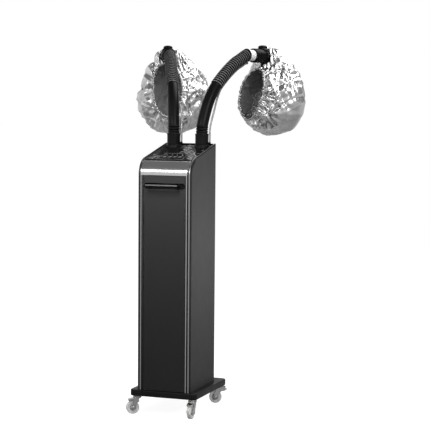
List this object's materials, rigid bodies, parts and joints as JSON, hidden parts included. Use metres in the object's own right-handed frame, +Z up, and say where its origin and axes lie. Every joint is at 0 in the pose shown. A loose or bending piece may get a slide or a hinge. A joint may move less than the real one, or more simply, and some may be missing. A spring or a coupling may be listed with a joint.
{
  "type": "hair steamer",
  "caption": "Slim upright hair steamer cabinet on casters, with a full-height door, a sloping control panel and bent hoses that carry hanging foil bonnets.",
  "frame": {"origin": "on the floor under the centre of the cabinet, halfway between its sides and between its front and rear", "axes": "+Z up, +X to the right as seen from the front, +Y to the back; the door faces -Y"},
  "size_m": [0.7256, 0.7805, 1.4316],
  "materials": {
    "base_black": "satin",
    "caster_chrome": "polished",
    "wheel_clear": "clear",
    "side_satin": "dark satin lacquer on board",
    "rear_painted": "dark satin paint",
    "edging_silver": "brushed",
    "door_satin": "dark satin lacquer on board",
    "moulded_black": "satin",
    "panel_gloss": "gloss",
    "button_grey": "matte",
    "handle_grey": "dark anodised",
    "hose_black": "semi gloss",
    "collar_white": "gloss",
    "tube_grey": "clear",
    "bonnet_foil": "crinkled silver foil",
    "inner_steel": "brushed",
    "tank_frosted": "frosted",
    "duct_rubber": "matte",
    "board_green": "matte"
  },
  "bodies": {
    "cabinet": {"base_plate": "base_black", "side_panel_left": "side_satin", "side_panel_right": "side_satin", "edge_trim_left": "edging_silver", "edge_trim_right": "edging_silver", "rear_panel": "rear_painted", "top_panel": "panel_gloss", "control_overlay": "panel_gloss", "control_board": "board_green", "front_frame": "edging_silver", "hinge_pin_lower": "caster_chrome", "hinge_pin_upper": "caster_chrome", "hose_socket_left": "moulded_black", "hose_socket_right": "moulded_black", "power_inlet": "moulded_black", "tank_shelf": "inner_steel", "water_tank": "tank_frosted", "boiler": "inner_steel", "steam_duct_left": "duct_rubber", "steam_duct_right": "duct_rubber", "feed_tube": "tank_frosted"},
    "door": {"door": "door_satin", "handle_cup": "moulded_black", "handle_bar": "handle_grey"},
    "caster_front_left": {"caster_fork_front_left": "caster_chrome"},
    "wheel_front_left": {"caster_wheel_front_left": "wheel_clear"},
    "caster_front_right": {"caster_fork_front_right": "caster_chrome"},
    "wheel_front_right": {"caster_wheel_front_right": "wheel_clear"},
    "caster_rear_left": {"caster_fork_rear_left": "caster_chrome"},
    "wheel_rear_left": {"caster_wheel_rear_left": "wheel_clear"},
    "brake_rear_left": {"brake_lever_rear_left": "caster_chrome"},
    "caster_rear_right": {"caster_fork_rear_right": "caster_chrome"},
    "wheel_rear_right": {"caster_wheel_rear_right": "wheel_clear"},
    "brake_rear_right": {"brake_lever_rear_right": "caster_chrome"},
    "button_1": {"button_1": "button_grey"},
    "button_2": {"button_2": "button_grey"},
    "button_3": {"button_3": "button_grey"},
    "button_4": {"button_4": "button_grey"},
    "power_switch": {"power_switch": "moulded_black"},
    "tank_cap": {"tank_cap": "moulded_black"},
    "hose_left": {"hose_cuff_left": "moulded_black", "hose_sleeve_left": "hose_black", "ribbed_hose_left": "hose_black", "drain_tube_left": "tube_grey"},
    "arm_left": {"hose_collar_left": "collar_white"},
    "hood_left": {"hood_cylinder_left": "moulded_black", "hood_cap_left": "moulded_black", "hood_strap_left": "moulded_black", "bonnet_left": "bonnet_foil"},
    "knob_left": {"hood_knob_left": "moulded_black"},
    "hose_right": {"hose_cuff_right": "moulded_black", "hose_sleeve_right": "hose_black", "ribbed_hose_right": "hose_black", "drain_tube_right": "tube_grey"},
    "arm_right": {"hose_collar_right": "collar_white"},
    "hood_right": {"hood_cylinder_right": "moulded_black", "hood_cap_right": "moulded_black", "hood_strap_right": "moulded_black", "bonnet_right": "bonnet_foil"},
    "knob_right": {"hood_knob_right": "moulded_black"}
  },
  "joints": [
    {"name": "door_hinge", "type": "hinge", "parent": "cabinet", "child": "door", "pos_m": [-0.0785, -0.133, 0.5], "axis": [0, 0, -1], "range_deg": [0, 90]},
    {"name": "swivel_front_left", "type": "hinge", "parent": "cabinet", "child": "caster_front_left", "pos_m": [-0.114, -0.124, 0.06], "axis": [0, 0, 1], "continuous": true},
    {"name": "spin_front_left", "type": "hinge", "parent": "caster_front_left", "child": "wheel_front_left", "pos_m": [-0.12892, -0.13407, 0.025], "axis": [0.5592, -0.829, 0], "continuous": true},
    {"name": "swivel_front_right", "type": "hinge", "parent": "cabinet", "child": "caster_front_right", "pos_m": [0.114, -0.124, 0.06], "axis": [0, 0, 1], "continuous": true},
    {"name": "spin_front_right", "type": "hinge", "parent": "caster_front_right", "child": "wheel_front_right", "pos_m": [0.114, -0.142, 0.025], "axis": [1, 0, 0], "continuous": true},
    {"name": "swivel_rear_left", "type": "hinge", "parent": "cabinet", "child": "caster_rear_left", "pos_m": [-0.114, 0.189, 0.06], "axis": [0, 0, 1], "continuous": true},
    {"name": "spin_rear_left", "type": "hinge", "parent": "caster_rear_left", "child": "wheel_rear_left", "pos_m": [-0.13091, 0.19516, 0.025], "axis": [-0.342, -0.9397, 0], "continuous": true},
    {"name": "brake_rear_left", "type": "hinge", "parent": "caster_rear_left", "child": "brake_rear_left", "pos_m": [-0.09803, 0.18319, 0.0579], "axis": [0.342, 0.9397, 0], "range_deg": [0, 18]},
    {"name": "swivel_rear_right", "type": "hinge", "parent": "cabinet", "child": "caster_rear_right", "pos_m": [0.114, 0.189, 0.06], "axis": [0, 0, 1], "continuous": true},
    {"name": "spin_rear_right", "type": "hinge", "parent": "caster_rear_right", "child": "wheel_rear_right", "pos_m": [0.09709, 0.18284, 0.025], "axis": [0.342, -0.9397, 0], "continuous": true},
    {"name": "brake_rear_right", "type": "hinge", "parent": "caster_rear_right", "child": "brake_rear_right", "pos_m": [0.12997, 0.19481, 0.0579], "axis": [-0.342, 0.9397, 0], "range_deg": [0, 18]},
    {"name": "press_button_1", "type": "slide", "parent": "cabinet", "child": "button_1", "axis": [0, 0.213, -0.977], "range_m": [0, 0.001], "stiffness_N_per_m": 600, "springref_m": -0.0005},
    {"name": "press_button_2", "type": "slide", "parent": "cabinet", "child": "button_2", "axis": [0, 0.213, -0.977], "range_m": [0, 0.001], "stiffness_N_per_m": 600, "springref_m": -0.0005},
    {"name": "press_button_3", "type": "slide", "parent": "cabinet", "child": "button_3", "axis": [0, 0.213, -0.977], "range_m": [0, 0.001], "stiffness_N_per_m": 600, "springref_m": -0.0005},
    {"name": "press_button_4", "type": "slide", "parent": "cabinet", "child": "button_4", "axis": [0, 0.213, -0.977], "range_m": [0, 0.001], "stiffness_N_per_m": 600, "springref_m": -0.0005},
    {"name": "rock_power_switch", "type": "hinge", "parent": "cabinet", "child": "power_switch", "pos_m": [0.045, 0.1395, 0.235], "axis": [1, 0, 0], "range_deg": [-8, 8]},
    {"name": "lift_tank_cap", "type": "slide", "parent": "cabinet", "child": "tank_cap", "axis": [0, 0, 1], "range_m": [0, 0.05]},
    {"name": "turn_hose_left", "type": "hinge", "parent": "cabinet", "child": "hose_left", "pos_m": [-0.059, 0.108, 1.077], "axis": [0, 0, 1], "range_deg": [-3, 75]},
    {"name": "bend_hose_left", "type": "hinge", "parent": "hose_left", "child": "arm_left", "pos_m": [-0.13346, 0.26411, 1.34504], "axis": [0.9026, 0.4305, 0], "range_deg": [-15, 20], "deforming": ["ribbed_hose_left", "drain_tube_left"]},
    {"name": "roll_hood_left", "type": "hinge", "parent": "arm_left", "child": "hood_left", "pos_m": [-0.17352, 0.34809, 1.388], "axis": [-0.4305, 0.9026, 0], "range_deg": [-8, 30]},
    {"name": "turn_knob_left", "type": "hinge", "parent": "hood_left", "child": "knob_left", "pos_m": [-0.21119, 0.42706, 1.388], "axis": [0, 0, 1], "continuous": true},
    {"name": "turn_hose_right", "type": "hinge", "parent": "cabinet", "child": "hose_right", "pos_m": [0.059, 0.108, 1.077], "axis": [0, 0, 1], "range_deg": [-75, 3]},
    {"name": "bend_hose_right", "type": "hinge", "parent": "hose_right", "child": "arm_right", "pos_m": [0.12797, 0.26661, 1.34504], "axis": [0.9171, -0.3987, 0], "range_deg": [-15, 20], "deforming": ["ribbed_hose_right", "drain_tube_right"]},
    {"name": "roll_hood_right", "type": "hinge", "parent": "arm_right", "child": "hood_right", "pos_m": [0.16507, 0.35194, 1.388], "axis": [0.3987, 0.9171, 0], "range_deg": [-30, 8]},
    {"name": "turn_knob_right", "type": "hinge", "parent": "hood_right", "child": "knob_right", "pos_m": [0.19996, 0.43218, 1.388], "axis": [0, 0, 1], "continuous": true}
  ]
}
